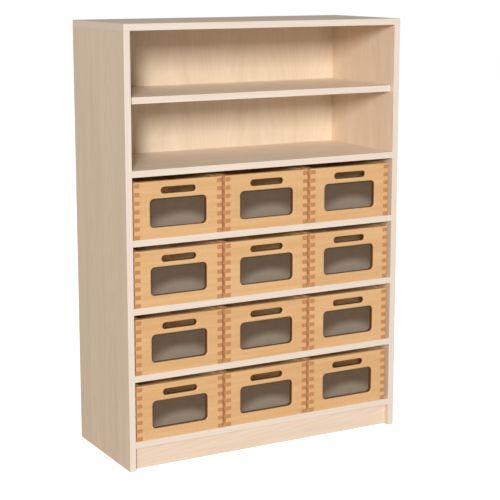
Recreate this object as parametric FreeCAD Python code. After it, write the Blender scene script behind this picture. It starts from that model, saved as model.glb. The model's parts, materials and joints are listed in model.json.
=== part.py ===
import FreeCAD, Part
import os

# Classroom tray storage unit: a board cabinet on a plinth, with one loose shelf
# in its open upper part and four rows of pull-out beech boxes below it.
# Millimetres. X runs to the right, Y to the back and Z up. The origin is on the
# floor, under the middle of the cabinet. The front is at the lowest Y.

# Cabinet boards
cabinet_width = 1050.0
cabinet_depth = 420.0
board_thickness = 22.0
edging_thickness = 2.0  # strip glued on each front edge
edging_round = 1.0  # eased long edges of each strip
plinth_height = 78.0
plinth_setback = 22.0  # plinth's face behind the cabinet's front
bay_height = 204.0  # clear height of one row of boxes
box_rows = 4
box_columns = 3
lower_open_height = 211.0  # clear height under the loose shelf
upper_open_height = 211.0  # clear height over the loose shelf

# Loose shelf and its four pins
loose_setback = 22.0  # shelf's front edge behind the cabinet's front
loose_end_gap = 1.0  # at each end, so that the shelf lifts and slides
loose_rear_gap = 1.0
pin_inset = 48.0  # pin's middle from the shelf's front or rear edge
peg_diameter = 5.0
peg_length = 9.0  # the peg's reach into the side panel
peg_hole_slack = 0.5  # empty end of the peg's hole
lug_length = 8.0  # the flat-topped lug that the shelf lies on
lug_width = 7.0
lug_height = 9.5

# Back panel, held in grooves and screwed to the shelves' rear edges
back_thickness = 8.0
back_inset = 10.0  # panel's rear face in front of the cabinet's rear edges
groove_depth = 8.0
groove_slack = 0.5  # empty strip at the bottom of each groove
screws_per_board = 4
screw_diameter = 3.5
screw_length = 30.0
screw_head_diameter = 7.0
screw_head_height = 2.2

# Glued dowels between the cabinet's boards
dowel_diameter = 8.0
dowel_length = 35.0
dowel_in_face = 12.0  # dowel's reach into the board that it meets face on
dowel_end_slack = 0.5  # glue pocket at each end of a dowel
dowel_margin = 50.0  # outer dowels' distance from a board's front and rear edge
dowels_per_end = 3
plinth_dowels_per_end = 2
plinth_dowel_margin = 20.0

# Boxes
first_gap = 7.0  # between the left side panel and the first box
box_gap = 11.0  # between two boxes
last_gap = 14.0  # between the last box and the right side panel
headroom = 17.0  # over each box
box_setback = 5.0  # box's face behind the cabinet's front
box_rear_gap = 12.0
box_wall = 20.0
finger_height = 14.0
corner_round = 3.0  # upright outer edges
rim_round = 2.0  # outer edges of the top rim
box_floor_thickness = 5.0
box_floor_height = 8.0  # underside of the floor above the walls' lower edges
box_groove_depth = 6.0
box_groove_slack = 0.3  # room for the floor to swell, at its edges and over it

# Openings in a box's front, and the pane behind the window
window_width = 204.0
window_corner = 14.0
window_sill = 35.0  # window's lower edge above the box's lower edge
slot_width = 125.0
slot_height = 21.0
slot_below_rim = 21.0  # slot's upper edge under the box's rim
bridge_height = 16.0  # wood between the window and the slot
round_over = 4.5  # radius on the edges of both openings
pane_thickness = 3.0
pane_lap = 10.0  # the pane's overlap on the wall, all round the window

# Clearance of round pieces in their holes, on the radius
hole_clearance = 0.05

# How far a cutter runs past the face that it cuts, and the width below which two
# places count as one
overrun = 1.0
same_place = 0.001

# Places that follow from the sizes
left = -cabinet_width / 2
right = cabinet_width / 2
front = -cabinet_depth / 2
rear = cabinet_depth / 2
inner_left = left + board_thickness
inner_right = right - board_thickness
board_front = front + edging_thickness
back_face = rear - back_inset - back_thickness  # front face of the back panel

bottom_underside = plinth_height
bay_floors = []
level = bottom_underside + board_thickness
for row in range(box_rows):
    bay_floors.append(level)
    level += bay_height + board_thickness
open_floor = level
loose_underside = open_floor + lower_open_height
top_underside = loose_underside + board_thickness + upper_open_height
cabinet_height = top_underside + board_thickness

# undersides of the boards that join the two side panels, from the bottom up
level_undersides = [bottom_underside]
for bay_floor in bay_floors:
    level_undersides.append(bay_floor + bay_height)


def block(low, high):
    """A box solid between two opposite corners."""
    size = [b - a for a, b in zip(low, high)]
    return Part.makeBox(size[0], size[1], size[2], FreeCAD.Vector(*low))


def rod(diameter, length, start, direction):
    """A round bar that starts at a point and runs along a direction."""
    return Part.makeCylinder(diameter / 2, length, FreeCAD.Vector(*start), FreeCAD.Vector(*direction))


def spread(low, high, count):
    """Evenly spaced places from low to high, both included."""
    step = (high - low) / (count - 1)
    return [low + step * i for i in range(count)]


def edges_along(solid, axis):
    """The straight edges of a solid that are parallel to an axis: 0 is X, 1 is Y and 2 is Z."""
    chosen = []
    for edge in solid.Edges:
        box = edge.BoundBox
        lengths = [box.XLength, box.YLength, box.ZLength]
        if abs(lengths[axis] - edge.Length) < same_place:
            chosen.append(edge)
    return chosen


# Dowels: each place is the point where two boards meet, and the way to the
# board that takes the dowel's long end.


def dowel_places():
    places = []
    rows_y = spread(board_front + dowel_margin, back_face - dowel_margin, dowels_per_end)
    for underside in level_undersides:
        z = underside + board_thickness / 2
        for y in rows_y:
            places.append(((inner_left, y, z), (1, 0, 0)))
            places.append(((inner_right, y, z), (-1, 0, 0)))
    for y in rows_y:
        places.append(((left + board_thickness / 2, y, top_underside), (0, 0, -1)))
        places.append(((right - board_thickness / 2, y, top_underside), (0, 0, -1)))
    plinth_y = front + plinth_setback + board_thickness / 2
    plinth_z = spread(plinth_dowel_margin, plinth_height - plinth_dowel_margin, plinth_dowels_per_end)
    for z in plinth_z:
        places.append(((inner_left, plinth_y, z), (1, 0, 0)))
        places.append(((inner_right, plinth_y, z), (-1, 0, 0)))
    return places


def dowel(place, diameter, slack):
    """A dowel across a joint, or its hole when slack lengthens it at both ends."""
    point, direction = place
    reach = dowel_in_face + slack
    start = [p - d * reach for p, d in zip(point, direction)]
    return rod(diameter, dowel_length + 2 * slack, start, direction)


# Countersunk screws through the back panel, with their points to the front


def screw_places():
    margin = (inner_right - inner_left) / (2 * screws_per_board)
    columns = spread(inner_left + margin, inner_right - margin, screws_per_board)
    rear_face = back_face + back_thickness
    places = []
    for underside in level_undersides:
        for x in columns:
            places.append((x, rear_face, underside + board_thickness / 2))
    return places


def screw(place, clearance):
    """A screw, or its countersunk hole when the clearance is more than zero."""
    toward_front = FreeCAD.Vector(0, -1, 0)
    shank = rod(screw_diameter + 2 * clearance, screw_length + clearance, place, (0, -1, 0))
    head = Part.makeCone(
        screw_head_diameter / 2 + clearance,
        screw_diameter / 2 + clearance,
        screw_head_height,
        FreeCAD.Vector(*place),
        toward_front,
    )
    return shank.fuse(head)


# Shelf pins: a round peg in the side panel and a flat-topped lug in front of it


def pin_places():
    loose_front = front + loose_setback
    loose_rear = back_face - loose_rear_gap
    places = []
    for y in (loose_front + pin_inset, loose_rear - pin_inset):
        places.append((inner_left, y, 1))
        places.append((inner_right, y, -1))
    return places


def pin_peg(place, clearance, slack):
    wall, y, inward = place
    z = loose_underside - lug_height / 2
    return rod(peg_diameter + 2 * clearance, peg_length + slack, (wall, y, z), (-inward, 0, 0))


def shelf_pin(place):
    wall, y, inward = place
    tip = wall + inward * lug_length
    low = (min(wall, tip), y - lug_width / 2, loose_underside - lug_height)
    high = (max(wall, tip), y + lug_width / 2, loose_underside)
    return block(low, high).fuse(pin_peg(place, 0.0, 0.0))


def back_panel_block(slack):
    """The back panel, or the space that its grooves cut when slack is more than zero."""
    reach = groove_depth - groove_slack + slack
    low = (inner_left - reach, back_face, bottom_underside)
    high = (inner_right + reach, back_face + back_thickness, top_underside + reach)
    return block(low, high)


def make_cabinet():
    """Every board, strip and fastener of the cabinet, by node name."""
    boards = {}
    groove = block(
        (inner_left - groove_depth, back_face, 0),
        (inner_right + groove_depth, back_face + back_thickness, top_underside),
    )
    left_panel = block((left, board_front, 0), (inner_left, rear, top_underside))
    right_panel = block((inner_right, board_front, 0), (right, rear, top_underside))
    boards["left_side_panel"] = left_panel.cut(groove)
    boards["right_side_panel"] = right_panel.cut(groove)
    boards["top_panel"] = block((left, board_front, top_underside), (right, rear, cabinet_height))
    boards["top_panel"] = boards["top_panel"].cut(back_panel_block(groove_slack))
    for i, underside in enumerate(level_undersides):
        name = "bottom_panel" if i == 0 else "fixed_shelf_" + str(i)
        low = (inner_left, board_front, underside)
        high = (inner_right, back_face, underside + board_thickness)
        boards[name] = block(low, high)
    plinth_front = front + plinth_setback
    low = (inner_left, plinth_front, 0)
    high = (inner_right, plinth_front + board_thickness, bottom_underside)
    boards["plinth_board"] = block(low, high)
    boards["back_panel"] = back_panel_block(0.0)

    holes = [dowel(p, dowel_diameter + 2 * hole_clearance, dowel_end_slack) for p in dowel_places()]
    holes += [screw(p, hole_clearance) for p in screw_places()]
    holes += [pin_peg(p, hole_clearance, peg_hole_slack) for p in pin_places()]
    for name in boards:
        near = [hole for hole in holes if hole.BoundBox.intersect(boards[name].BoundBox)]
        boards[name] = boards[name].cut(near)

    loose_low = (inner_left + loose_end_gap, front + loose_setback + edging_thickness, loose_underside)
    loose_high = (inner_right - loose_end_gap, back_face - loose_rear_gap, loose_underside + board_thickness)
    boards["loose_shelf"] = block(loose_low, loose_high)

    boards["dowels"] = Part.makeCompound([dowel(p, dowel_diameter, 0.0) for p in dowel_places()])
    boards["back_screws"] = Part.makeCompound([screw(p, 0.0) for p in screw_places()])
    boards["shelf_pins"] = Part.makeCompound([shelf_pin(p) for p in pin_places()])
    return boards


def edging_strip(x_low, x_high, z_low, z_high, setback):
    """A strip on a board's front edge, with its two long front edges eased."""
    face = front + setback
    strip = block((x_low, face, z_low), (x_high, face + edging_thickness, z_high))
    long_axis = 0 if x_high - x_low > z_high - z_low else 2
    long_edges = [e for e in edges_along(strip, long_axis) if e.BoundBox.YMax < face + same_place]
    return strip.makeFillet(edging_round, long_edges)


def make_edgings():
    """The strips on the front edges, by node name."""
    strips = {}
    strips["side_edgings"] = Part.makeCompound(
        [
            edging_strip(left, inner_left, 0, top_underside, 0),
            edging_strip(inner_right, right, 0, top_underside, 0),
        ]
    )
    strips["top_edging"] = edging_strip(left, right, top_underside, cabinet_height, 0)
    shelf_strips = []
    for underside in level_undersides:
        strip = edging_strip(inner_left, inner_right, underside, underside + board_thickness, 0)
        shelf_strips.append(strip)
    strips["shelf_edgings"] = Part.makeCompound(shelf_strips)
    strips["loose_shelf_edging"] = edging_strip(
        inner_left + loose_end_gap,
        inner_right - loose_end_gap,
        loose_underside,
        loose_underside + board_thickness,
        loose_setback,
    )
    return strips


# Boxes. A box is made with its lower front left corner at the origin.

inner_width = inner_right - inner_left
box_width = (inner_width - first_gap - last_gap - box_gap * (box_columns - 1)) / box_columns
box_height = bay_height - headroom
box_depth = back_face - front - box_setback - box_rear_gap
slot_bottom = box_height - slot_below_rim - slot_height
window_height = slot_bottom - bridge_height - window_sill


def finger_bands():
    """Heights of the corner joint's fingers from the bottom up, the last one cut off by the rim."""
    bands = []
    low = 0.0
    while low < box_height:
        bands.append((low, min(low + finger_height, box_height)))
        low += finger_height
    return bands


def corner_fingers(bands):
    """The square posts of all four corners at the given heights."""
    posts = []
    for low, high in bands:
        for x in (0, box_width - box_wall):
            for y in (0, box_depth - box_wall):
                posts.append(block((x, y, low), (x + box_wall, y + box_wall, high)))
    return posts


def box_envelope():
    """All four walls in one, with their outer upright edges and both edges of the rim rounded."""
    solid = block((0, 0, 0), (box_width, box_depth, box_height))
    solid = solid.makeFillet(corner_round, edges_along(solid, 2))
    cavity_low = (box_wall, box_wall, -overrun)
    cavity_high = (box_width - box_wall, box_depth - box_wall, box_height + overrun)
    solid = solid.cut(block(cavity_low, cavity_high))
    rim = [edge for edge in solid.Edges if edge.BoundBox.ZMin > box_height - same_place]
    return solid.makeFillet(rim_round, rim)


def window_cutter():
    """The window's outline carried through the front wall."""
    low_x = (box_width - window_width) / 2
    low = (low_x, -overrun, window_sill)
    high = (low_x + window_width, box_wall + overrun, window_sill + window_height)
    solid = block(low, high)
    return solid.makeFillet(window_corner, edges_along(solid, 1))


def slot_cutter():
    """The handle slot, round at both ends, carried through the front wall."""
    radius = slot_height / 2
    low_x = (box_width - slot_width) / 2 + radius
    high_x = (box_width + slot_width) / 2 - radius
    low = (low_x, -overrun, slot_bottom)
    high = (high_x, box_wall + overrun, slot_bottom + slot_height)
    solid = block(low, high)
    for x in (low_x, high_x):
        centre = (x, -overrun, slot_bottom + radius)
        end = rod(slot_height, box_wall + 2 * overrun, centre, (0, 1, 0))
        solid = solid.fuse(end)
    return solid.removeSplitter()


def rims_of(cutter, solid, plane_y):
    """The edges that a cutter left in a solid on one upright plane, seen along Y."""
    hole = cutter.BoundBox
    rims = []
    for edge in solid.Edges:
        box = edge.BoundBox
        on_plane = abs(box.YMin - plane_y) < same_place and abs(box.YMax - plane_y) < same_place
        inside_x = box.XMin > hole.XMin - same_place and box.XMax < hole.XMax + same_place
        inside_z = box.ZMin > hole.ZMin - same_place and box.ZMax < hole.ZMax + same_place
        if on_plane and inside_x and inside_z:
            rims.append(edge)
    return rims


def make_box_parts():
    """The three nodes of one box: its front wall, its other walls with the floor, and its pane."""
    bands = finger_bands()
    side_posts = corner_fingers(bands[0::2])
    end_posts = corner_fingers(bands[1::2])
    envelope = box_envelope()

    edge = box_wall - box_groove_depth
    top_of_floor = box_floor_height + box_floor_thickness
    slack = box_groove_slack
    groove_high = (box_width - edge, box_depth - edge, top_of_floor + slack)
    groove = block((edge, edge, box_floor_height), groove_high)
    floor_high = (box_width - edge - slack, box_depth - edge - slack, top_of_floor)
    floor = block((edge + slack, edge + slack, box_floor_height), floor_high)

    front_wall = block((0, 0, 0), (box_width, box_wall, box_height)).cut(side_posts)
    window = window_cutter()
    slot = slot_cutter()
    front_wall = front_wall.cut([groove, window, slot]).common(envelope)
    for cutter, plane_y in ((window, 0), (slot, 0), (slot, box_wall)):
        front_wall = front_wall.makeFillet(round_over, rims_of(cutter, front_wall, plane_y))

    back_wall = block((0, box_depth - box_wall, 0), (box_width, box_depth, box_height))
    back_wall = back_wall.cut(side_posts).cut(groove).common(envelope)
    side_walls = []
    for x in (0, box_width - box_wall):
        wall = block((x, 0, 0), (x + box_wall, box_depth, box_height))
        side_walls.append(wall.cut(end_posts).cut(groove).common(envelope))

    low_x = (box_width - window_width) / 2 - pane_lap
    low_z = window_sill - pane_lap
    pane = block(
        (low_x, box_wall, low_z),
        (box_width - low_x, box_wall + pane_thickness, low_z + window_height + 2 * pane_lap),
    )
    return {
        "front": front_wall,
        "body": Part.makeCompound(side_walls + [back_wall, floor]),
        "window": pane,
    }


def make_boxes():
    """All boxes, in rows a, b, c and so on from the top and columns 1, 2, 3 from the left."""
    pattern = make_box_parts()
    boxes = {}
    for row, floor_z in enumerate(reversed(bay_floors)):
        for column in range(box_columns):
            x = inner_left + first_gap + column * (box_width + box_gap)
            move = FreeCAD.Vector(x, front + box_setback, floor_z)
            for piece, shape in pattern.items():
                name = "box_" + chr(ord("a") + row) + str(column + 1) + "_" + piece
                boxes[name] = shape.translated(move)
    return boxes


def main():
    os.makedirs("parts", exist_ok=True)
    nodes = {}
    nodes.update(make_cabinet())
    nodes.update(make_edgings())
    nodes.update(make_boxes())
    for name, shape in nodes.items():
        shape.exportStep("parts/" + name + ".step")
    print(len(nodes), "nodes,", cabinet_width, "x", cabinet_depth, "x", cabinet_height, "mm")
    print("box", round(box_width, 1), "x", round(box_depth, 1), "x", round(box_height, 1), "mm")


main()
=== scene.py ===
import json
import math

import bmesh
import bpy
import numpy as np
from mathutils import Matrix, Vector

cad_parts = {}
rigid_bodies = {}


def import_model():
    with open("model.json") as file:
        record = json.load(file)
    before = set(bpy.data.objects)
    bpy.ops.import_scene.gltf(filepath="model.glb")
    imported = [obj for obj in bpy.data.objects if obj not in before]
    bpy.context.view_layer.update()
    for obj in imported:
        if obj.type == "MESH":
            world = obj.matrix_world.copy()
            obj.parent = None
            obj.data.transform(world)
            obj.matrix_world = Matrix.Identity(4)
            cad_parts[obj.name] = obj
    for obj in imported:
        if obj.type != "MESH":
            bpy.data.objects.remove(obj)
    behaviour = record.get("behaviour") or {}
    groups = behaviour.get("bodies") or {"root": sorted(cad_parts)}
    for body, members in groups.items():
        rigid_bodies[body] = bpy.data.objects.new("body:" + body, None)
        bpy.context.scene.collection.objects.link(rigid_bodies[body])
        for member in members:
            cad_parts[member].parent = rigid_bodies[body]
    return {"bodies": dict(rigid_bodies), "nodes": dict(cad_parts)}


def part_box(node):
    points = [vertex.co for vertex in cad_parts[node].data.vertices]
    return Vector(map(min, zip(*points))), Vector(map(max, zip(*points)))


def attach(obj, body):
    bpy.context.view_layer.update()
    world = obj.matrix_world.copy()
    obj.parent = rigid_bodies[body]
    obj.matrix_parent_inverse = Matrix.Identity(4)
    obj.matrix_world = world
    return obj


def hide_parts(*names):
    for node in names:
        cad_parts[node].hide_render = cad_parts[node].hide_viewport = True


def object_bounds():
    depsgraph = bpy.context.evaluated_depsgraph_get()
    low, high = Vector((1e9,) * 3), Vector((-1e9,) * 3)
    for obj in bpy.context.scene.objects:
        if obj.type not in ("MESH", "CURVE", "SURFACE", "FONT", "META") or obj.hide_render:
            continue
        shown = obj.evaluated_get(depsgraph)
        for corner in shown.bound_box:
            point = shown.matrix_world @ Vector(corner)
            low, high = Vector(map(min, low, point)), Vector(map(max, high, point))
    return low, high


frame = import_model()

mm = 0.001
cadLow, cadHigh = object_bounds()


# Camera, lights and floor

camera = {
    "place": (-2.3436, -4.2962, 1.6393),  # metres, left of the cabinet's front and at eye height
    "turn": 29.063,  # degrees to the right of straight ahead
    "down": 10.269,  # degrees below level
    "focalPixels": 1414.1,  # on an image 500 pixels wide
    "imagePixels": 500,
    "sensor": 36.0,  # mm
    "shift": -0.05,  # of the image's width
}


def aim(thing, place, towards):
    # stands a camera or a lamp at a place and turns it to look along a direction
    thing.location = place
    thing.rotation_mode = "QUATERNION"
    thing.rotation_quaternion = Vector(towards).to_track_quat("-Z", "Y")
    bpy.context.scene.collection.objects.link(thing)


def makeCamera():
    lens = bpy.data.cameras.new("camera")
    lens.sensor_width = camera["sensor"]
    lens.lens = camera["sensor"] * camera["focalPixels"] / camera["imagePixels"]
    lens.shift_y = camera["shift"]
    turn, down = math.radians(camera["turn"]), math.radians(camera["down"])
    ahead = (math.sin(turn) * math.cos(down), math.cos(turn) * math.cos(down), -math.sin(down))
    thing = bpy.data.objects.new("camera", lens)
    aim(thing, camera["place"], ahead)
    bpy.context.scene.camera = thing


# Direction is from the cabinet's middle to the lamp: degrees to the left of the
# front, and degrees above level.
lamps = {
    "keySoftbox": {"left": 30.6, "up": 15.8, "distance": 24.8, "wide": 3.2, "tall": 4.9,
                   "watts": 5080.0, "colour": "fffdfb"},
}
studio = {
    "air": "fffefc",
    "airStrength": 0.33,  # light from all round
    "floorColour": "c4c1bc",
    "floorGlow": 0.85,  # what the lens sees of the floor is burnt out to white, like the air
    "floorRadii": (0.32, 4.8, 16.0),  # metres
    "floorSides": 96,
    "floorTooth": 1 / 300,  # metres
    "floorRelief": {"Strength": 0.05, "Distance": 0.2 * mm},
}


def linearColour(code):
    # "rrggbb" in sRGB to linear red, green, blue and alpha
    channels = np.array([int(code[i : i + 2], 16) for i in (0, 2, 4)]) / 255
    linear = np.where(channels > 0.04045, ((channels + 0.055) / 1.055) ** 2.4, channels / 12.92)
    return (*linear.tolist(), 1.0)


def addNode(tree, kind, settings):
    # One node. A name that the node has is set on it, and the others are its inputs: there a
    # node (by the first output that it has in use) or a socket is linked, a colour code is
    # turned to linear, and the rest is set.
    node = tree.nodes.new("ShaderNode" + kind)
    for name, value in settings.items():
        if isinstance(value, bpy.types.Node):
            value = next(output for output in value.outputs if output.enabled)
        if isinstance(name, str) and hasattr(node, name):
            setattr(node, name, value)
        elif isinstance(value, bpy.types.NodeSocket):
            tree.links.new(value, node.inputs[name])
        elif isinstance(value, str):
            node.inputs[name].default_value = linearColour(value)
        else:
            node.inputs[name].default_value = value
    return node


def emptyMaterial(name):
    material = bpy.data.materials.new(name)
    material.use_nodes = True
    material.node_tree.nodes.clear()
    return material, material.node_tree


def makeLamps():
    middle = (cadLow + cadHigh) / 2
    for name, lamp in lamps.items():
        light = bpy.data.lights.new(name, "AREA")
        light.shape = "RECTANGLE"
        light.size = lamp["wide"]
        light.size_y = lamp["tall"]
        light.energy = lamp["watts"]
        light.color = linearColour(lamp["colour"])[:3]
        left, up = math.radians(lamp["left"]), math.radians(lamp["up"])
        out = Vector((-math.sin(left) * math.cos(up), -math.cos(left) * math.cos(up), math.sin(up)))
        aim(bpy.data.objects.new(name, light), middle + out * lamp["distance"], -out)


def makeAir():
    # even light from all round, which the lens sees as plain white
    world = bpy.data.worlds.new("studioAir")
    world.use_nodes = True
    tree = world.node_tree
    tree.nodes.clear()
    rays = addNode(tree, "LightPath", {})
    lit = addNode(tree, "Background", {"Color": studio["air"], "Strength": studio["airStrength"]})
    seen = addNode(tree, "Background", {"Color": "ffffff", "Strength": 1.0})
    mixed = addNode(tree, "MixShader", {0: rays.outputs["Is Camera Ray"], 1: lit, 2: seen})
    addNode(tree, "OutputWorld", {"Surface": mixed})
    bpy.context.scene.world = world


def makeFloor():
    # a flat disc: each radius times (cos a, sin a), at floor level, from the rim inwards
    angles = np.linspace(0, 2 * math.pi, studio["floorSides"], endpoint=False)
    radii = np.array(studio["floorRadii"])[::-1, None]
    level = np.full((radii.size, angles.size), cadLow.z)
    rings = np.stack([radii * np.cos(angles), radii * np.sin(angles), level], axis=-1)
    floor = pieceFrom("studioFloor", rings, lids=(False, True))
    material, tree = emptyMaterial("whitePaperFloor")  # matt white paper, with the faintest tooth
    here = addNode(tree, "TexCoord", {}).outputs["Object"]
    tooth = addNode(tree, "TexNoise", {"Vector": here, "Scale": 1 / studio["floorTooth"], "Detail": 2.0})
    rays = addNode(tree, "LightPath", {})
    glow = addNode(tree, "Math", {"operation": "MULTIPLY", 0: rays.outputs["Is Camera Ray"],
                                  1: studio["floorGlow"]})
    finishSurface(tree, tooth, studio["floorRelief"], {
        "Base Color": studio["floorColour"], "Roughness": 0.9,
        "Emission Color": "ffffff", "Emission Strength": glow,
    })
    floor.data.materials.append(material)


# Meshes: a closed skin over a stack of rings, and a merged copy of a board


def meshFrom(name, rings, lids=(True, True)):
    # A four-cornered face joins each two neighbouring points of one ring to the same two of
    # the next ring, and a flat lid closes the first and the last ring. An array with one more
    # axis in front holds several such skins for one mesh.
    count, around = rings.shape[-3:-1]
    each = count * around
    first = np.arange(rings.size // (3 * each))[:, None, None] * each  # where each skin's points begin
    here = first + np.arange(each - around).reshape(count - 1, around)
    beside = np.roll(here, -1, axis=-1)
    faces = np.stack([here, beside, beside + around, here + around], axis=-1).reshape(-1, 4).tolist()
    if lids[0]:
        faces += (first[:, 0] + np.arange(around)[::-1]).tolist()
    if lids[1]:
        faces += (first[:, 0] + each - around + np.arange(around)).tolist()
    mesh = bpy.data.meshes.new(name)
    mesh.from_pydata(rings.reshape(-1, 3).tolist(), [], faces)
    mesh.update()
    return mesh


def softShaded(mesh, sharpest=35.0):
    # smooth over the rounded edges, crisp where faces meet at more than this many degrees
    mesh.polygons.foreach_set("use_smooth", np.ones(len(mesh.polygons), dtype=bool))
    mesh.set_sharp_from_angle(angle=math.radians(sharpest))
    mesh.update()
    return mesh


def asObject(name, mesh):
    thing = bpy.data.objects.new(name, mesh)
    bpy.context.scene.collection.objects.link(thing)
    return thing


def pieceFrom(name, rings, lids=(True, True)):
    return asObject(name, softShaded(meshFrom(name, rings, lids)))


def placed(rings, origin, sideways, inward):
    # rings from their own axes (sideways, up, inward) to the object's
    return rings @ np.array([sideways, (0, 0, 1), inward], dtype=float) + np.array(origin)


easing = {
    "mergeWithin": 0.001 * mm,
    "flatWithin": 0.5,  # degrees between the triangles of one flat face
    "edgeFrom": 40.0,  # degrees between two faces, for the edge to be broken
    "segments": 2,
    "largeFaces": 90,  # how far they win over small ones in the shading, of 100
}


def flatFacesFlat(thing):
    # large faces keep their own direction, so that only the rounded edges shade softly
    weighted = thing.modifiers.new("flatFacesFlat", "WEIGHTED_NORMAL")
    weighted.keep_sharp = True
    weighted.weight = easing["largeFaces"]


def easedCopy(node, width):
    # a board's copy with its loose triangles merged, its flat faces made whole and its edges broken
    shell = bmesh.new()
    shell.from_mesh(frame["nodes"][node].data)
    bmesh.ops.remove_doubles(shell, verts=shell.verts[:], dist=easing["mergeWithin"])
    bmesh.ops.dissolve_limit(
        shell, angle_limit=math.radians(easing["flatWithin"]), verts=shell.verts[:], edges=shell.edges[:]
    )
    mesh = bpy.data.meshes.new(node + "_eased")
    shell.to_mesh(mesh)
    shell.free()
    thing = asObject(node + "_eased", softShaded(mesh))
    broken = thing.modifiers.new("brokenEdges", "BEVEL")
    broken.width = width
    broken.segments = easing["segments"]
    broken.limit_method = "ANGLE"
    broken.angle_limit = math.radians(easing["edgeFrom"])
    broken.use_clamp_overlap = False
    flatFacesFlat(thing)
    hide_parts(node)
    return thing


def dress(thing, body, material):
    # a finished piece gets its finish, its body and its slot
    thing.data.materials.clear()
    thing.data.materials.append(material)
    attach(thing, body)


# Materials. Patterns read Object coordinates in metres, and their sizes are in metres too.


def grainPlace(tree, along, across):
    # Object coordinates turned so that X runs along the grain and Y across the face
    place = addNode(tree, "TexCoord", {})
    parts = addNode(tree, "SeparateXYZ", {0: place.outputs["Object"]})
    deep = (set("XYZ") - {along, across}).pop()
    turned = addNode(tree, "CombineXYZ", {
        "X": parts.outputs[along], "Y": parts.outputs[across], "Z": parts.outputs[deep],
    })
    return place, turned


def stretchedNoise(tree, place, sizes, detail, **settings):
    # noise whose blotches have about these sizes along the three axes
    stretched = addNode(tree, "Mapping", {"Vector": place, "Scale": [1 / size for size in sizes]})
    return addNode(tree, "TexNoise", {"Vector": stretched, "Scale": 1.0, "Detail": detail, **settings})


def growthRings(tree, distance, width, rise):
    # from 0 to 1 over each ring's width, where the next ring begins at 0 again
    rings = addNode(tree, "Math", {"operation": "DIVIDE", 0: distance, 1: width})
    phase = addNode(tree, "Math", {"operation": "FRACT", 0: rings})
    return addNode(tree, "MapRange", {"interpolation_type": "SMOOTHSTEP", "Value": phase, **rise})


def tinted(tree, under, tint, mask, share=1.0):
    # a colour with a tint over it, as strong as the mask times the share
    strength = addNode(tree, "Math", {"operation": "MULTIPLY", 0: mask, 1: share})
    return addNode(tree, "Mix", {"data_type": "RGBA", 0: strength, 6: under, 7: tint})


def facingAlong(tree, place, axis):
    # how far a surface looks along an axis, from 0 for not at all to 1 for squarely
    facing = addNode(tree, "SeparateXYZ", {0: place.outputs["Normal"]})
    return addNode(tree, "Math", {"operation": "ABSOLUTE", 0: facing.outputs[axis]})


rubbing = {
    "slant": {"From Min": 0.985, "From Max": 0.85},  # largest part of the normal, face and edge
    "patches": {"From Min": 0.35, "From Max": 0.7},  # noise, where spared and where worn
}


def rubbedEdge(tree, place, patch):
    # How far an eased edge is rubbed, from 0 to 1. A surface that looks along none of the
    # three axes is such an edge, and hands and neighbours rub it more in some places than others.
    facing = addNode(tree, "VectorMath", {"operation": "ABSOLUTE", 0: place.outputs["Normal"]})
    parts = addNode(tree, "SeparateXYZ", {0: facing})
    sideways = addNode(tree, "Math", {"operation": "MAXIMUM", 0: parts.outputs["X"], 1: parts.outputs["Y"]})
    squarely = addNode(tree, "Math", {"operation": "MAXIMUM", 0: sideways, 1: parts.outputs["Z"]})
    eased = addNode(tree, "MapRange", {"Value": squarely, **rubbing["slant"]})
    patches = addNode(tree, "TexNoise", {"Vector": place.outputs["Object"],
                                         "Scale": 1 / patch, "Detail": 3.0})
    often = addNode(tree, "MapRange", {"Value": patches, **rubbing["patches"]})
    return addNode(tree, "Math", {"operation": "MULTIPLY", 0: eased, 1: often})


def finishSurface(tree, height, relief, surface):
    # the last nodes of a material: a pattern's fine relief, and the surface with its settings
    raised = addNode(tree, "Bump", {"Height": height, **relief})
    skin = addNode(tree, "BsdfPrincipled", {**surface, "Normal": raised})
    addNode(tree, "OutputMaterial", {"Surface": skin})


paleMaple = {"ground": "f0dfce", "band": "e6cfb7", "ring": "d2b493"}
# painted light: level boards get a lighter copy of the pale maple
levelMapleLit = {"ground": "f5e9da", "band": "ecdac6", "ring": "d8bf9f"}
# painted shade: upright boards get a darker, yellower copy of the pale maple
uprightMapleShaded = {"ground": "ead5be", "band": "e1c8ad", "ring": "ceae8a"}
# painted shade: the back wall gets a darker copy of the pale maple, with its own broad leaves
backMapleShaded = {"ground": "ebdbc4", "band": "e3ceb3", "ring": "d0b48f",
             "leaf": 0.37, "narrowing": 26.0, "ringShare": 0.13}  # broad quiet leaves


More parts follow.
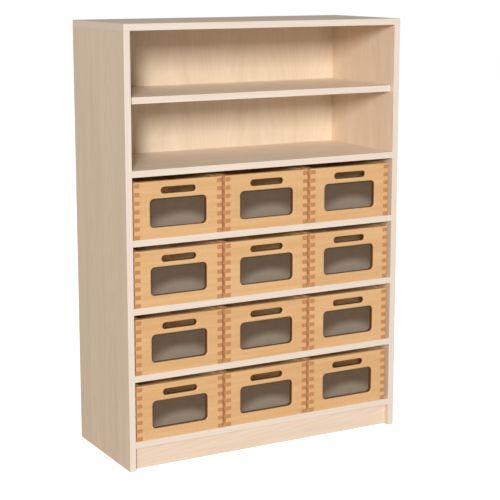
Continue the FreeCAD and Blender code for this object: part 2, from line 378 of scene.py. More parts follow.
def mapleDecorBoard(name, along, across, tones, bandedEnds=False):
    # melamine-faced chipboard: a printed maple paper pressed hot under resin between satin plates.
    # The figure is pale and soft, the sheen is even, and the pores are hardly in the surface.
    look = {
        "poreColour": "b08d68",
        "edge": "c7a98a",  # rubbed arris, where the paper's brown core shows
        "end": "e8d3be",  # strip glued on a board's ends
        "endFrom": 0.7,  # a face that looks along the grain by more than this is an end
        "leaf": 0.165,  # width of one printed veneer leaf
        "arch": 0.13,  # from one growth arch to the next, along the grain
        "archRise": {"From Min": 0.35, "From Max": 0.97},
        "narrowing": 95.0,  # how fast the arches close up towards a leaf's sides
        "sway": (1 / 1.6, 1 / 22, 1 / 22),  # slow waves, 0.6 m long and 45 mm wide
        "swayReach": 2.4,  # how many arches the waves push an arch along
        "fibre": (1 / 9, 2.2 * mm, 2.2 * mm),  # real fibres are under 0.1 mm wide and wouldn't show
        "fibreShare": 0.5,
        "toneRise": {"From Min": 0.45, "From Max": 1.0},
        "pore": (9 * mm, 0.9 * mm, 0.9 * mm),
        "poreRise": {"From Min": 0.66, "From Max": 0.78},
        "poreShare": 0.22,
        "ringShare": 0.16,
        "rubPatch": 40 * mm,
        "rubShare": 0.6,
        "satin": {"To Min": 0.36, "To Max": 0.48},
        "relief": {"Strength": 0.12, "Distance": 0.05 * mm},
        **tones,
    }
    material, tree = emptyMaterial(name)
    place, grain = grainPlace(tree, along, across)
    parts = addNode(tree, "SeparateXYZ", {0: grain})
    sway = stretchedNoise(tree, grain, look["sway"], detail=3.0, Roughness=0.55)
    # leaves lie side by side, each with its own arches: along + the leaf's own shift +
    # (distance from its middle) squared times the narrowing, and the sway on top
    leaf = addNode(tree, "Math", {"operation": "DIVIDE", 0: parts.outputs["Y"], 1: look["leaf"]})
    leafNumber = addNode(tree, "Math", {"operation": "FLOOR", 0: leaf})
    inLeaf = addNode(tree, "Math", {"operation": "SUBTRACT", 0: leaf, 1: leafNumber})
    fromMiddle = addNode(tree, "Math", {"operation": "MULTIPLY_ADD", 0: inLeaf,
                                        1: look["leaf"], 2: -look["leaf"] / 2})
    squared = addNode(tree, "Math", {"operation": "MULTIPLY", 0: fromMiddle, 1: fromMiddle})
    chance = addNode(tree, "TexWhiteNoise", {"noise_dimensions": "1D", "W": leafNumber})
    bowed = addNode(tree, "Math", {"operation": "MULTIPLY_ADD", 0: squared,
                                   1: look["narrowing"], 2: parts.outputs["X"]})
    shifted = addNode(tree, "Math", {"operation": "ADD", 0: bowed, 1: chance.outputs["Value"]})
    swayed = addNode(tree, "Math", {"operation": "MULTIPLY_ADD", 0: sway,
                                    1: look["swayReach"] * look["arch"], 2: shifted})
    ring = growthRings(tree, swayed, look["arch"], look["archRise"])
    fibre = stretchedNoise(tree, grain, look["fibre"], detail=3.0)
    dashes = stretchedNoise(tree, grain, look["pore"], detail=1.0)
    pore = addNode(tree, "MapRange", {"Value": dashes, **look["poreRise"]})
    streaks = addNode(tree, "Math", {"operation": "MULTIPLY_ADD", 0: fibre, 1: look["fibreShare"], 2: sway})
    tone = addNode(tree, "MapRange", {"Value": streaks, **look["toneRise"]})
    colour = tinted(tree, look["ground"], look["band"], tone)
    colour = tinted(tree, colour, look["ring"], ring, look["ringShare"])
    colour = tinted(tree, colour, look["poreColour"], pore, look["poreShare"])
    if bandedEnds:
        turned = facingAlong(tree, place, along)
        isEnd = addNode(tree, "Math", {"operation": "GREATER_THAN", 0: turned, 1: look["endFrom"]})
        colour = tinted(tree, colour, look["end"], isEnd)
    colour = tinted(tree, colour, look["edge"], rubbedEdge(tree, place, look["rubPatch"]), look["rubShare"])
    satin = addNode(tree, "MapRange", {"Value": fibre, **look["satin"]})
    finishSurface(tree, fibre, look["relief"], {"Base Color": colour, "Roughness": satin, "IOR": 1.52})
    return material


def mapleEdgeBand(name, along):
    # ABS strip printed to match, glued on hot and scraped flush: paler than the board, with
    # straight streaks along its length and a soft shine
    look = {
        "ground": "f0e2d5",
        "streakColour": "e5d2c0",
        "edge": "d9c3aa",
        "streak": (0.4, 3 * mm, 3 * mm),
        "streakRise": {"From Min": 0.35, "From Max": 0.75},
        "rubPatch": 30 * mm,
        "rubShare": 0.5,
        "shine": {"To Min": 0.3, "To Max": 0.42},
        "relief": {"Strength": 0.1, "Distance": 0.05 * mm},
    }
    material, tree = emptyMaterial(name)
    place, grain = grainPlace(tree, along, "Y")
    streaks = stretchedNoise(tree, grain, look["streak"], detail=4.0)
    tone = addNode(tree, "MapRange", {"Value": streaks, **look["streakRise"]})
    colour = tinted(tree, look["ground"], look["streakColour"], tone)
    colour = tinted(tree, colour, look["edge"], rubbedEdge(tree, place, look["rubPatch"]), look["rubShare"])
    shine = addNode(tree, "MapRange", {"Value": streaks, **look["shine"]})
    finishSurface(tree, streaks, look["relief"], {"Base Color": colour, "Roughness": shine, "IOR": 1.54})
    return material


boxCells = {  # the room that each box has, as the patterns see it
    "pitch": (0.332, 10.0, 0.226),  # from one box to the next; there is one layer in depth
    "margin": (4 * mm, 4 * mm, 4 * mm),  # outside a box's lower front left corner
}
openings = {  # heights above a box's lower edge
    "window": {"width": 204 * mm, "low": 35 * mm, "high": 129 * mm, "corner": 14 * mm},
    "handle": {"width": 125 * mm, "low": 145 * mm, "high": 166 * mm, "corner": 10.5 * mm},
    "roundOver": 4.5 * mm,
    "frontFade": (0.1, 1.2),  # depths between which the painted shade of an opening sets in, in round-overs
    "backFade": (0.1 * mm, 1.5 * mm),  # depths from the wall's inner face
}
firstBox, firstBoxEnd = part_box("box_d1_front")  # the front wall of the lowest box at the left
boxWidth = firstBoxEnd.x - firstBox.x
wallThickness = firstBoxEnd.y - firstBox.y


def boxPlace(tree, place):
    # where a point's box stands, from the first box, and where the point is in its own box, from
    # the box's lower front left corner
    here = place.outputs["Object"]
    fromFirst = addNode(tree, "VectorMath", {"operation": "SUBTRACT", 0: here, 1: firstBox})
    inside = addNode(tree, "VectorMath", {"operation": "ADD", 0: fromFirst, 1: boxCells["margin"]})
    cell = addNode(tree, "VectorMath", {"operation": "SNAP", 0: inside, 1: boxCells["pitch"]})
    inBox = addNode(tree, "VectorMath", {"operation": "SUBTRACT", 0: fromFirst, 1: cell})
    return cell, inBox


def openingShadeMask(tree, inBox):
    # where shade is painted: 1 on the flat inside of a front wall's window and handle slot, fading out over
    # their round edges
    edge, window = openings["roundOver"], openings["window"]
    reach = 2 * edge  # past the openings' own outlines
    low, high = window["low"] - reach, openings["handle"]["high"] + reach
    frontFrom, frontTo = openings["frontFade"]
    backTo, backFrom = openings["backFade"]
    parts = addNode(tree, "SeparateXYZ", {0: inBox})
    across = addNode(tree, "Math", {"operation": "COMPARE", 0: parts.outputs["X"], 1: boxWidth / 2,
                                    2: window["width"] / 2 + reach})
    up = addNode(tree, "Math", {"operation": "COMPARE", 0: parts.outputs["Z"], 1: (low + high) / 2,
                                2: (high - low) / 2})
    front = addNode(tree, "MapRange", {"interpolation_type": "SMOOTHSTEP", "Value": parts.outputs["Y"],
                                       "From Min": frontFrom * edge, "From Max": frontTo * edge})
    back = addNode(tree, "MapRange", {"Value": parts.outputs["Y"], "From Min": wallThickness - backTo,
                                      "From Max": wallThickness - backFrom})
    level = addNode(tree, "Math", {"operation": "MULTIPLY", 0: across, 1: up})
    deep = addNode(tree, "Math", {"operation": "MULTIPLY", 0: front, 1: back})
    return addNode(tree, "Math", {"operation": "MULTIPLY", 0: level, 1: deep})


frontBeech = {"early": "e7bb87", "late": "dbab75", "end": "e0ae7a", "endDark": "cf9865"}
sideBeech = {"early": "efc691", "late": "e3b680", "end": "cc925b", "endDark": "b77945"}


def beech(name, along, tones, lacquered=True):
    # solid beech, planed, glued up at finger joints, sanded and clear lacquered: warm and even,
    # with short dark flecks along the grain, end grain that drinks lacquer and goes dark, and painted shade
    # inside the openings
    look = {
        **tones,
        "fleckColour": "b5753f",
        "routed": "6f4c30",  # painted shade inside an opening
        "scorched": "5c3d28",  # painted shade on its end grain, darker still
        "rubbed": "f0cc9c",
        "apart": (0.3, 0.08, 0.02),  # how far apart the boards of two boxes can lie in the tree
        "sway": (1 / 2.5, 1 / 30, 1 / 30),
        "swayReach": 12 * mm,  # how far the slow waves push the rings
        "ring": 3.2 * mm,
        "ringRise": {"From Min": 0.3, "From Max": 0.95},
        "heart": 0.07,  # from the board's face to the middle of the tree
        "lean": 0.06,  # of the tree's middle line, towards or away from the face
        "band": (1 / 1.4, 1 / 75, 1 / 75),  # pale and dark bands, 0.7 m long and 13 mm wide
        "bandShare": 0.9,
        "boardShare": 0.25,  # of each box's own tone
        "toneRise": {"From Min": 0.75, "From Max": 1.4},
        "ringShare": 0.25,
        "fleck": (7 * mm, 1.1 * mm, 1.1 * mm),  # real ones are 1 to 3 mm long, too fine to show
        "fleckRise": {"From Min": 0.64, "From Max": 0.74},
        "fleckShare": 0.5,
        "pore": 1.4 * mm,
        "endRingShare": 0.4,
        "endRise": {"From Min": 0.4, "From Max": 1.0},
        "endFacing": {"From Min": 0.2, "From Max": 0.5},  # how far an end looks along the grain
        "rubPatch": 20 * mm,
        "rubShare": 0.6,
        "satin": {"To Min": 0.38, "To Max": 0.56},
        "relief": {"Strength": 0.15, "Distance": 0.06 * mm},
        "lacquer": {"Coat Weight": 0.2, "Coat Roughness": 0.22, "Coat IOR": 1.5},
    }
    material, tree = emptyMaterial(name)
    place, grain = grainPlace(tree, along, "Z")
    # each box has its own tone and its own piece of the tree
    cell, inBox = boxPlace(tree, place)
    chance = addNode(tree, "TexWhiteNoise", {"Vector": cell})
    moved = addNode(tree, "VectorMath", {"operation": "MULTIPLY_ADD", 0: chance.outputs["Color"],
                                         1: look["apart"], 2: grain})
    sway = stretchedNoise(tree, moved, look["sway"], detail=2.0)
    # rings: distance from the tree's middle line, which lies behind the face and leans a little
    parts = addNode(tree, "SeparateXYZ", {0: moved})
    leaning = addNode(tree, "Math", {"operation": "MULTIPLY_ADD", 0: parts.outputs["X"],
                                     1: look["lean"], 2: look["heart"]})
    behind = addNode(tree, "Math", {"operation": "ADD", 0: leaning, 1: parts.outputs["Z"]})
    fromHeart = addNode(tree, "CombineXYZ", {"X": parts.outputs["Y"], "Y": behind})
    radius = addNode(tree, "VectorMath", {"operation": "LENGTH", 0: fromHeart})
    swayed = addNode(tree, "Math", {"operation": "MULTIPLY_ADD", 0: sway, 1: look["swayReach"], 2: radius})
    ring = growthRings(tree, swayed, look["ring"], look["ringRise"])
    # the face: bands, rings and the board's own tone, with flecks
    dashes = stretchedNoise(tree, moved, look["fleck"], detail=1.0)
    fleck = addNode(tree, "MapRange", {"Value": dashes, **look["fleckRise"]})
    bands = stretchedNoise(tree, moved, look["band"], detail=2.0)
    boardTone = addNode(tree, "Math", {"operation": "MULTIPLY_ADD", 0: chance.outputs["Value"],
                                       1: look["boardShare"], 2: sway})
    bandTone = addNode(tree, "Math", {"operation": "MULTIPLY_ADD", 0: bands,
                                      1: look["bandShare"], 2: boardTone})
    tone = addNode(tree, "MapRange", {"Value": bandTone, **look["toneRise"]})
    ringTone = addNode(tree, "Math", {"operation": "MULTIPLY_ADD", 0: ring, 1: look["ringShare"],
                                      2: tone, "use_clamp": True})
    face = tinted(tree, look["early"], look["late"], ringTone)
    face = tinted(tree, face, look["fleckColour"], fleck, look["fleckShare"])
    # end grain: where the surface looks along the grain
    pores = addNode(tree, "TexNoise", {"Vector": moved, "Scale": 1 / look["pore"], "Detail": 2.0})
    endTone = addNode(tree, "Math", {"operation": "MULTIPLY_ADD", 0: ring, 1: look["endRingShare"], 2: pores})
    endMask = addNode(tree, "MapRange", {"Value": endTone, **look["endRise"]})
    endFace = tinted(tree, look["end"], look["endDark"], endMask)
    turned = facingAlong(tree, place, along)
    isEnd = addNode(tree, "MapRange", {"interpolation_type": "SMOOTHSTEP", "Value": turned,
                                       **look["endFacing"]})
    colour = tinted(tree, face, endFace, isEnd)
    notEnd = addNode(tree, "Math", {"operation": "SUBTRACT", 0: 1.0, 1: isEnd})
    rubbed = addNode(tree, "Math", {"operation": "MULTIPLY", 0: notEnd,
                                    1: rubbedEdge(tree, place, look["rubPatch"])})
    colour = tinted(tree, colour, look["rubbed"], rubbed, look["rubShare"])
    # painted shade on the insides of the window and handle openings, darker on end grain
    openingShadeColour = tinted(tree, look["routed"], look["scorched"], turned)
    colour = tinted(tree, colour, openingShadeColour, openingShadeMask(tree, inBox))
    satin = addNode(tree, "MapRange", {"Value": dashes, **look["satin"]})
    finishSurface(tree, dashes, look["relief"], {
        "Base Color": colour, "Roughness": satin, "IOR": 1.5, **(look["lacquer"] if lacquered else {}),
    })
    return material


def peeledPlywood(name):
    # beech plywood, faced with veneer peeled round the log: a broad wavy figure, sanded and
    # lacquered thin
    look = {
        "ground": "f0dcbe",
        "waveColour": "e2c49a",
        "fleckColour": "ad733f",
        "wave": (1 / 3, 1 / 9, 1.0),
        "waveStep": 0.045,  # the noise's change from a pale line to a dark one
        "waveShare": 0.45,
        "fleck": (6 * mm, 1.0 * mm, 1.0 * mm),
        "fleckRise": {"From Min": 0.65, "From Max": 0.75},
        "fleckShare": 0.4,
        "satin": {"To Min": 0.45, "To Max": 0.62},
        "relief": {"Strength": 0.15, "Distance": 0.05 * mm},
    }
    material, tree = emptyMaterial(name)
    grain = grainPlace(tree, "X", "Y")[1]
    swirl = stretchedNoise(tree, grain, look["wave"], detail=3.0, Distortion=0.6)
    lines = addNode(tree, "Math", {"operation": "DIVIDE", 0: swirl, 1: look["waveStep"]})
    wave = addNode(tree, "Math", {"operation": "PINGPONG", 0: lines, 1: 1.0})
    dashes = stretchedNoise(tree, grain, look["fleck"], detail=1.0)
    fleck = addNode(tree, "MapRange", {"Value": dashes, **look["fleckRise"]})
    colour = tinted(tree, look["ground"], look["waveColour"], wave, look["waveShare"])
    colour = tinted(tree, colour, look["fleckColour"], fleck, look["fleckShare"])
    satin = addNode(tree, "MapRange", {"Value": dashes, **look["satin"]})
    finishSurface(tree, dashes, look["relief"], {"Base Color": colour, "Roughness": satin, "IOR": 1.5})
    return material


def satinAcrylic(name):
    # cast acrylic sheet, smoke tinted and satin: what is behind it shows only dimly. The lower part
    # of each pane is painted paler, most in the middle, up to an arch: a painted pool of light.
    look = {
        "through": "8e8983",
        "haze": "cbad92",
        "hazeShare": 0.165,
        "hazeSpread": 0.15,
        "scuff": "e0cdb7",
        "scuffShare": 0.15,
        "scuffPlace": (0.176, 0.0, 0.02),  # the arch's foot, from the box's lower front left corner
        "scuffReach": (0.128, 1.0, 0.063),  # half the arch's width, and its height
        "scuffFade": {"From Min": 1.15, "From Max": 0.6},  # in arches, from clear to the full painted light
        "scratch": 1.2 * mm,
        "scratchSpread": {"To Min": 0.7, "To Max": 1.3},
        "mottle": 30 * mm,
        "satin": {"To Min": 0.12, "To Max": 0.2},
        "ior": 1.49,
    }
    material, tree = emptyMaterial(name)
    place = addNode(tree, "TexCoord", {})
    here = place.outputs["Object"]
    cloud = addNode(tree, "TexNoise", {"Vector": here, "Scale": 1 / look["mottle"], "Detail": 2.0})
    inBox = boxPlace(tree, place)[1]
    # distance from the arch's foot, measured so that the arch lies at 1
    fromFoot = addNode(tree, "VectorMath", {"operation": "SUBTRACT", 0: inBox, 1: look["scuffPlace"]})
    flat = addNode(tree, "VectorMath", {"operation": "MULTIPLY", 0: fromFoot, 1: (1.0, 0.0, 1.0)})
    reached = addNode(tree, "VectorMath", {"operation": "DIVIDE", 0: flat, 1: look["scuffReach"]})
    far = addNode(tree, "VectorMath", {"operation": "LENGTH", 0: reached})
    # painted light: a paler arch on the lower middle of the pane, broken up by fine speckle
    paintedPoolMask = addNode(tree, "MapRange", {"interpolation_type": "SMOOTHSTEP", "Value": far,
                                         **look["scuffFade"], "To Max": look["scuffShare"]})
    lines = addNode(tree, "TexNoise", {"Vector": here, "Scale": 1 / look["scratch"], "Detail": 2.0})
    uneven = addNode(tree, "MapRange", {"Value": lines, **look["scratchSpread"]})
    haze = addNode(tree, "MapRange", {"Value": cloud, "To Min": look["hazeShare"] * (1 - look["hazeSpread"]),
                                      "To Max": look["hazeShare"] * (1 + look["hazeSpread"])})
    share = addNode(tree, "Math", {"operation": "MULTIPLY_ADD", 0: paintedPoolMask, 1: uneven, 2: haze})
    gloss = addNode(tree, "Fresnel", {"IOR": look["ior"]})
    seen = addNode(tree, "Math", {"operation": "ADD", 0: share, 1: gloss, "use_clamp": True})
    satin = addNode(tree, "MapRange", {"Value": cloud, **look["satin"]})
    # the sheet's colour turns towards the painted light's paler colour inside the arch
    paintedPoolPaleness = addNode(tree, "MapRange", {"Value": paintedPoolMask, "From Max": look["scuffShare"]})
    clear = addNode(tree, "BsdfTransparent", {"Color": look["through"]})
    sheet = addNode(tree, "BsdfPrincipled", {
        "Base Color": tinted(tree, look["haze"], look["scuff"], paintedPoolPaleness),
        "Roughness": satin, "IOR": look["ior"],
    })
    mixed = addNode(tree, "MixShader", {0: seen, 1: clear, 2: sheet})
    addNode(tree, "OutputMaterial", {"Surface": mixed})
    return material


nickelPlate = {"bright": "eeeae4", "dull": "dad5cc", "roughness": 0.42}
zincPlate = {"bright": "c6cbd0", "dull": "a4a9ae", "roughness": 0.35}


def platedSteel(name, plate):
    # steel, cold formed and electroplated: a bright skin with fine drawn lines and dull patches
    look = {
        **plate,
        "patch": 4 * mm,
        "line": 0.3 * mm,
        "smoothest": 0.7,  # of the roughness
        "roughest": 1.4,
        "relief": {"Strength": 0.1, "Distance": 0.01 * mm},
    }
    material, tree = emptyMaterial(name)
    here = addNode(tree, "TexCoord", {}).outputs["Object"]
    patches = addNode(tree, "TexNoise", {"Vector": here, "Scale": 1 / look["patch"], "Detail": 3.0})
    lines = addNode(tree, "TexNoise", {"Vector": here, "Scale": 1 / look["line"], "Detail": 1.0})
    rough = addNode(tree, "MapRange", {"Value": patches, "To Min": look["roughness"] * look["smoothest"],
                                       "To Max": look["roughness"] * look["roughest"]})
    colour = tinted(tree, look["bright"], look["dull"], patches)
    finishSurface(tree, lines, look["relief"], {"Base Color": colour, "Metallic": 1.0, "Roughness": rough})
    return material


makeCamera()
makeLamps()
makeAir()
makeFloor()
bpy.context.scene.view_settings.view_transform = "Standard"
print("stage: camera, softbox, white air and floor")

mapleUpright = mapleDecorBoard("mapleDecorUpright", "Z", "Y", uprightMapleShaded)
mapleBack = mapleDecorBoard("mapleDecorBack", "Z", "X", backMapleShaded)
mapleLevel = mapleDecorBoard("mapleDecorLevel", "X", "Y", levelMapleLit)
mapleTop = mapleDecorBoard("mapleDecorTop", "X", "Y", paleMaple, bandedEnds=True)
maplePlinth = mapleDecorBoard("mapleDecorPlinth", "X", "Z", paleMaple)
edgeBandUpright = mapleEdgeBand("mapleEdgeBandUpright", "Z")
edgeBandLevel = mapleEdgeBand("mapleEdgeBandLevel", "X")
beechAcross = beech("lacqueredBeechAcross", "X", frontBeech)
beechDeep = beech("lacqueredBeechDeep", "Y", sideBeech)
rawBeech = beech("rawBeech", "X", sideBeech, lacquered=False)
plywood = peeledPlywood("peeledBeechPlywood")
acrylic = satinAcrylic("satinAcrylic")
nickel = platedSteel("nickelPlatedSteel", nickelPlate)
zinc = platedSteel("zincPlatedSteel", zincPlate)
print("materials:", len(bpy.data.materials))


# Cabinet

cabinet = {
    "brokenEdge": 0.3 * mm,
    "boards": {
        "left_side_panel": mapleUpright,
        "right_side_panel": mapleUpright,
        "top_panel": mapleTop,
        "bottom_panel": mapleLevel,
        "fixed_shelf_1": mapleLevel,
        "fixed_shelf_2": mapleLevel,
        "fixed_shelf_3": mapleLevel,
        "fixed_shelf_4": mapleLevel,
        "loose_shelf": mapleLevel,
        "plinth_board": maplePlinth,
        "back_panel": mapleBack,
    },
    "strips": {
        "side_edgings": edgeBandUpright,
        "top_edging": edgeBandLevel,
        "shelf_edgings": edgeBandLevel,
        "loose_shelf_edging": edgeBandLevel,
    },
}


def dressCabinet():
    for node, material in cabinet["boards"].items():
        body = "loose_shelf" if node == "loose_shelf" else "cabinet"
        dress(easedCopy(node, cabinet["brokenEdge"]), body, material)
    for node, material in cabinet["strips"].items():
        frame["nodes"][node].material_slots[0].material = material
    frame["nodes"]["dowels"].material_slots[0].material = rawBeech


dressCabinet()
print("cabinet: boards eased and strips finished")


# Fittings: screws and shelf pins

screws = {  # depths are below the face that a screw is driven into
    "ridgeWidth": 0.5,  # of the thread's pitch
    "tip": 0.03,  # of the shank's radius, left at its point
    "recessFoot": 0.4,  # the recess's size at its bottom, of that at its top
    "back": {  # countersunk, through the back panel
        "perBoard": 4,
        "sides": 24,
        "recess": {"reach": 2.0 * mm, "arm": 0.5 * mm, "top": 0.0, "bottom": 1.4 * mm},
        "headDepths": [0.0, 0.15 * mm, 2.2 * mm],
        "headRadii": [3.3 * mm, 3.5 * mm, 1.75 * mm],
        "core": 1.15 * mm,
        "crest": 1.75 * mm,
        "pitch": 1.6 * mm,
        "ringsPerTurn": 6,
        "start": 2.5 * mm,
        "length": 30 * mm,
        "point": 4 * mm,
    },
    "pane": {  # small, with a pan head
        "sides": 12,
        "recess": {"reach": 1.4 * mm, "arm": 0.4 * mm, "top": -1.6 * mm, "bottom": -0.4 * mm},
        "headDepths": [-1.6 * mm, -1.4 * mm, -0.9 * mm, -0.3 * mm, 0.0, 0.0],
        "headRadii": [1.7 * mm, 2.1 * mm, 2.4 * mm, 2.5 * mm, 2.5 * mm, 1.25 * mm],
        "core": 0.8 * mm,
        "crest": 1.25 * mm,
        "pitch": 1.0 * mm,
        "ringsPerTurn": 4,
        "start": 0.2 * mm,
        "length": 12 * mm,
        "point": 2 * mm,
        "fromCorner": 5 * mm,  # of the pane, both ways
    },
}
pin = {
    "sides": 48,
    "peg": 2.5 * mm,  # radius
    "pegLength": 9 * mm,
    "chamfer": 0.5 * mm,
    "halfWide": 3.5 * mm,
    "halfTall": 4.75 * mm,
    "squareness": 0.3,  # 1 would make the lug round, and 0 sharp-cornered
    "collar": 1.6 * mm,
    "neck": 0.8 * mm,
    "lugLength": 8 * mm,
    "nose": 1.0 * mm,
    "round": 0.2 * mm,  # of the collar's and the neck's edges
    "inset": 48 * mm,  # from the shelf's front and rear edge
    "pegTip": 0.8,  # this and the next ones are shares of the peg's or the lug's full outline
    "collarFace": 0.94,
    "waist": 0.86,
    "shoulder": 0.97,
    "noseSide": 0.95,
    "noseTip": 0.8,
}


def screwRings(shape):
    # A screw round its own axis, from the bottom of its cross recess over the head to the
    # point. A recess ring is the larger of two crossed bars: a bar ends where the first of
    # reach / |cos a| and arm / |sin a| is met. On the shank the radius is the core plus a ridge
    # that is highest where depth / pitch - a / 360 degrees is a whole number and a half.
    recess = shape["recess"]
    tiny = 1e-9  # so that nothing is divided by zero
    angles = np.linspace(0, 2 * math.pi, shape["sides"], endpoint=False)
    across, up = np.abs(np.cos(angles)) + tiny, np.abs(np.sin(angles)) + tiny
    bars = [np.minimum(recess["reach"] / across, recess["arm"] / up),
            np.minimum(recess["arm"] / across, recess["reach"] / up)]
    cross = np.maximum(*bars)
    shankDepths = np.arange(shape["start"], shape["length"], shape["pitch"] / shape["ringsPerTurn"])
    turn = (shankDepths[:, None] / shape["pitch"] - angles / (2 * math.pi)) % 1
    slope = 2 / screws["ridgeWidth"]
    ridge = np.clip(1 - slope * np.abs(turn - 0.5), 0, 1) * (shape["crest"] - shape["core"])
    tapered = np.clip((shape["length"] - shankDepths) / shape["point"], screws["tip"], 1)[:, None]
    head = np.repeat(shape["headRadii"], angles.size).reshape(-1, angles.size)
    shank = (shape["core"] + ridge) * tapered
    radii = np.concatenate([[screws["recessFoot"] * cross, cross], head, shank])
    depths = np.concatenate([[recess["bottom"], recess["top"]], shape["headDepths"], shankDepths])
    w = np.broadcast_to(depths[:, None], radii.shape)
    return np.stack([radii * np.cos(angles), radii * np.sin(angles), w], axis=-1)


def pinRings():
    # A shelf pin from its peg's end to its nose: a round peg, then a collar, a neck and a lug
    # with the outline (half width x sign(cos a) |cos a| ^ s, half height x sign(sin a) |sin a| ^ s).
    angles = np.linspace(0, 2 * math.pi, pin["sides"], endpoint=False)
    ways = np.stack([np.cos(angles), np.sin(angles)], axis=-1)
    peg = pin["peg"] * ways
    lug = np.sign(ways) * np.abs(ways) ** pin["squareness"] * [pin["halfWide"], pin["halfTall"]]
    face = pin["pegLength"]
    neck = face + pin["collar"]
    flat = neck + pin["neck"]
    nose = face + pin["lugLength"]
    soft, waist = pin["round"], lug * pin["waist"]
    profile = [
        (0.0, peg * pin["pegTip"]), (pin["chamfer"], peg), (face, peg),
        (face, lug * pin["collarFace"]), (face + soft, lug), (neck - soft, lug), (neck, waist),
        (flat - soft, waist), (flat, lug * pin["shoulder"]), (flat + soft, lug),
        (nose - pin["nose"], lug), (nose - pin["nose"] / 2, lug * pin["noseSide"]),
        (nose, lug * pin["noseTip"]),
    ]
    return np.stack([np.column_stack([outline, np.full(angles.size, depth)]) for depth, outline in profile])


def backScrewPlaces():
    # evenly along each board, half a step in from its ends and halfway up it
    boards = [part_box(node) for node in cabinet["boards"] if node == "bottom_panel" or "fixed" in node]
    low, high = boards[0]
    across = np.linspace(low.x, high.x, 2 * screws["back"]["perBoard"] + 1)[1::2]
    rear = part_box("back_panel")[1].y
    return np.array([(x, rear, (low.z + high.z) / 2) for low, high in boards for x in across])


def makeFittings():
    towardsFront = {"sideways": (1, 0, 0), "inward": (0, -1, 0)}
    rings = placed(screwRings(screws["back"]), (0, 0, 0), **towardsFront)
    places = backScrewPlaces()
    backScrews = pieceFrom("countersunk_back_screws", rings + places[:, None, None, :])
    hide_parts("back_screws")
    dress(backScrews, "cabinet", zinc)

    low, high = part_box("loose_shelf")
    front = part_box("loose_shelf_edging")[0].y
    leftWall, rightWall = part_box("left_side_panel")[1].x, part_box("right_side_panel")[0].x
    height = low.z - pin["halfTall"]
    pins = []
    for y in (front + pin["inset"], high.y - pin["inset"]):
        pins.append(placed(pinRings(), (leftWall - pin["pegLength"], y, height), (0, 1, 0), (1, 0, 0)))
        pins.append(placed(pinRings(), (rightWall + pin["pegLength"], y, height), (0, -1, 0), (-1, 0, 0)))
    shelfPins = pieceFrom("nickel_shelf_pins", np.stack(pins))
    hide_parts("shelf_pins")
    dress(shelfPins, "cabinet", nickel)

    inset = screws["pane"]["fromCorner"]
    rings = placed(screwRings(screws["pane"]), (0, 0, 0), **towardsFront)
    for body in boxBodies:
        low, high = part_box(body + "_window")
        corners = [(x, high.y, z) for x in (low.x + inset, high.x - inset)
                   for z in (low.z + inset, high.z - inset)]
        paneScrews = pieceFrom(body + "_pane_screws", rings + np.array(corners)[:, None, None, :])
        dress(paneScrews, body, zinc)
    print("fittings: back screws", len(places), "and shelf pins", len(pins))


# Boxes

boxShape = {
    "finger": 14 * mm,
    "cornerRound": 3 * mm,
    "rimRound": 2 * mm,
    "brokenEdge": 0.25 * mm,
    "roundSteps": 6,
    "arcPoints": 9,  # in a quarter circle of an opening's outline
    "plugOverhang": 1 * mm,  # of a cutting plug past the wall
    "floorBottom": 8 * mm,
    "floorThickness": 5 * mm,
    "grooveDepth": 6 * mm,
    "grooveSlack": 0.3 * mm,
    "polishedEdge": 0.3 * mm,  # of a pane
}


def pulledIn(radius, depth):
    # how far a quarter-round edge of this radius lies inside the outline, at a depth below the face
    short = np.clip(radius - depth, 0, None)
    return radius - np.sqrt(np.clip(radius**2 - short**2, 0, None))


def fingeredOutline(length, height, wall, longFirst):
    # A wall seen square on, anticlockwise: bands one finger high end in turn at the full
    # length and one wall's thickness short of it. Each point comes with the outward signs of
    # its upright and its level edge, and with whether each of them is a finger's tip or the rim.
    count = math.ceil(height / boxShape["finger"])
    low = np.arange(count) * boxShape["finger"]
    high = np.minimum(low + boxShape["finger"], height)
    isLong = (np.arange(count) % 2 == 0) == longFirst
    rise = np.stack([low, high], axis=1).ravel()
    short = np.repeat(np.where(isLong, 0, wall), 2)
    levelSign = np.stack([np.where(isLong, -1, 1), np.where(isLong, 1, -1)], axis=1).ravel()
    levelSign[0], levelSign[-1] = -1, 1
    isTip = np.repeat(isLong, 2)
    isRim = np.arange(2 * count) == 2 * count - 1
    points = np.concatenate([np.stack([length - short, rise], axis=1), np.stack([short, rise], axis=1)[::-1]])
    return {
        "points": points,
        "uprightSign": np.concatenate([np.ones(2 * count), -np.ones(2 * count)]),
        "levelSign": np.concatenate([levelSign, levelSign[::-1]]),
        "isTip": np.concatenate([isTip, isTip[::-1]]),
        "isRim": np.concatenate([isRim, isRim[::-1]]),
    }


def plateRings(outline, thickness):
    # The outline carried through the plate's thickness. At each depth every edge is pulled in
    # by its own quarter round: the corner round at finger tips on the outer face, the rim
    # round along the rim on both faces, and a broken edge elsewhere.
    steps = boxShape["cornerRound"] * np.linspace(0, 1, boxShape["roundSteps"]) ** 2
    depths = np.concatenate([steps, thickness - steps[::-1]])
    below = np.minimum(depths, thickness - depths)[:, None]
    isOuter = (depths < thickness / 2)[:, None]
    tip = np.where(isOuter & outline["isTip"], boxShape["cornerRound"], boxShape["brokenEdge"])
    rim = np.where(outline["isRim"], boxShape["rimRound"], boxShape["brokenEdge"])
    u = outline["points"][:, 0] - outline["uprightSign"] * pulledIn(tip, below)
    v = outline["points"][:, 1] - outline["levelSign"] * pulledIn(rim, below)
    w = np.broadcast_to(depths[:, None], u.shape)
    return np.stack([u, v, w], axis=-1)


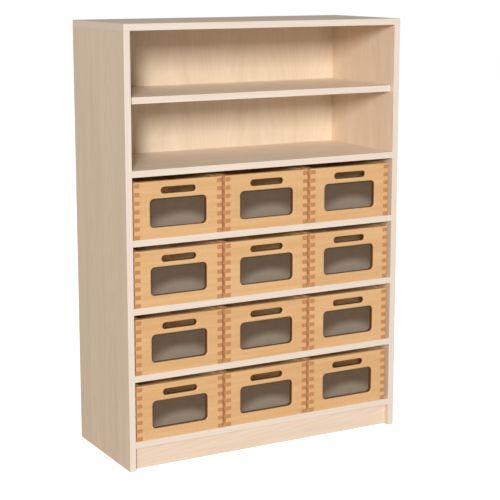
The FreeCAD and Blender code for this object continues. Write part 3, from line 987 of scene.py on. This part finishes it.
def plugRings(hole, thickness, bothFaces):
    # A plug for cutting an opening: a rounded rectangle, corner middles plus radius times
    # (cos a, sin a), carried through the wall, with the radius grown by a quarter round near a face.
    height, corner, edge = hole["high"] - hole["low"], hole["corner"], openings["roundOver"]
    quarter = np.linspace(0, math.pi / 2, boxShape["arcPoints"])
    angles = np.concatenate([quarter + turn * math.pi / 2 for turn in range(4)])
    side = np.repeat([1, -1, -1, 1], quarter.size)
    above = np.repeat([1, 1, -1, -1], quarter.size)
    steps = edge * np.linspace(0, 1, boxShape["roundSteps"]) ** 2
    over = boxShape["plugOverhang"]
    depths = np.concatenate([[-over], steps, thickness - steps[::-1], [thickness + over]])
    grown = pulledIn(edge, np.clip(depths, 0, None))
    if bothFaces:
        grown = np.maximum(grown, pulledIn(edge, np.clip(thickness - depths, 0, None)))
    radius = corner + grown[:, None]
    u = side * (hole["width"] / 2 - corner) + radius * np.cos(angles)
    v = above * (height / 2 - corner) + radius * np.sin(angles) + (hole["high"] + hole["low"]) / 2
    return np.stack([u, v, np.broadcast_to(depths[:, None], u.shape)], axis=-1)


def without(mesh, cutters):
    # the mesh with the cutters' shapes taken out
    thing = asObject("uncut", mesh)
    plugs = [asObject("plug", cutter) for cutter in cutters]
    for plug in plugs:
        cut = thing.modifiers.new("cut", "BOOLEAN")
        cut.object = plug
        cut.operation = "DIFFERENCE"
        cut.solver = "EXACT"
    evaluated = thing.evaluated_get(bpy.context.evaluated_depsgraph_get())
    result = bpy.data.meshes.new_from_object(evaluated)
    for scrap in [thing, *plugs]:
        bpy.data.objects.remove(scrap)
    return result


def blockRings(low, high):
    # a plain block as two rings of four corners
    corners = np.array([(low[0], low[1]), (high[0], low[1]), (high[0], high[1]), (low[0], high[1])])
    return np.stack([np.column_stack([corners, np.full(4, z)]) for z in (low[2], high[2])])


def makeBoxMeshes():
    # the meshes of one box, with its lower front left corner at the origin
    wall, width = wallThickness, boxWidth
    height = firstBoxEnd.z - firstBox.z
    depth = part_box("box_d1_body")[1].y - firstBox.y
    shorter = fingeredOutline(width, height, wall, longFirst=False)  # front and back
    longer = fingeredOutline(depth, height, wall, longFirst=True)  # sides
    edge = wall - boxShape["grooveDepth"]
    slack = boxShape["grooveSlack"]
    bottom = boxShape["floorBottom"]
    top = bottom + boxShape["floorThickness"]
    groove = meshFrom("groove", blockRings((edge, edge, bottom), (width - edge, depth - edge, top + slack)))
    middle = (width / 2, 0, 0)
    window = placed(plugRings(openings["window"], wall, False), middle, (-1, 0, 0), (0, 1, 0))
    handle = placed(plugRings(openings["handle"], wall, True), middle, (-1, 0, 0), (0, 1, 0))
    plugs = [groove, meshFrom("window", window), meshFrom("handle", handle)]
    shortRings, longRings = plateRings(shorter, wall), plateRings(longer, wall)
    front = meshFrom("front", placed(shortRings, (width, 0, 0), (-1, 0, 0), (0, 1, 0)))
    back = meshFrom("back", placed(shortRings, (0, depth, 0), (1, 0, 0), (0, -1, 0)))
    left = meshFrom("left", placed(longRings, (0, 0, 0), (0, 1, 0), (1, 0, 0)))
    right = meshFrom("right", placed(longRings, (width, depth, 0), (0, -1, 0), (-1, 0, 0)))
    inset = edge + slack
    floor = meshFrom("floor", blockRings((inset, inset, bottom), (width - inset, depth - inset, top)))
    meshes = {
        "front_wall": without(front, plugs),
        "left_wall": without(left, [groove]),
        "right_wall": without(right, [groove]),
        "back_wall": without(back, [groove]),
        "floor": floor,
    }
    for mesh in meshes.values():
        softShaded(mesh)
    return meshes


def makeBoxes():
    meshes = makeBoxMeshes()
    finishes = {"front_wall": beechAcross, "back_wall": beechAcross, "left_wall": beechDeep,
                "right_wall": beechDeep, "floor": plywood}
    for body in boxBodies:
        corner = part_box(body + "_front")[0]
        for kind, pattern in meshes.items():
            mesh = pattern.copy()
            places = np.empty(len(mesh.vertices) * 3)
            mesh.vertices.foreach_get("co", places)
            mesh.vertices.foreach_set("co", (places.reshape(-1, 3) + np.array(corner)).ravel())
            mesh.update()
            thing = asObject(body + "_" + kind, mesh)
            flatFacesFlat(thing)
            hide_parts(body + ("_front" if kind == "front_wall" else "_body"))
            dress(thing, body, finishes[kind])
        pane = easedCopy(body + "_window", boxShape["polishedEdge"])
        dress(pane, body, acrylic)
    print("boxes:", len(boxBodies))


boxBodies = [body for body in frame["bodies"] if body.startswith("box_")]
makeBoxes()
makeFittings()
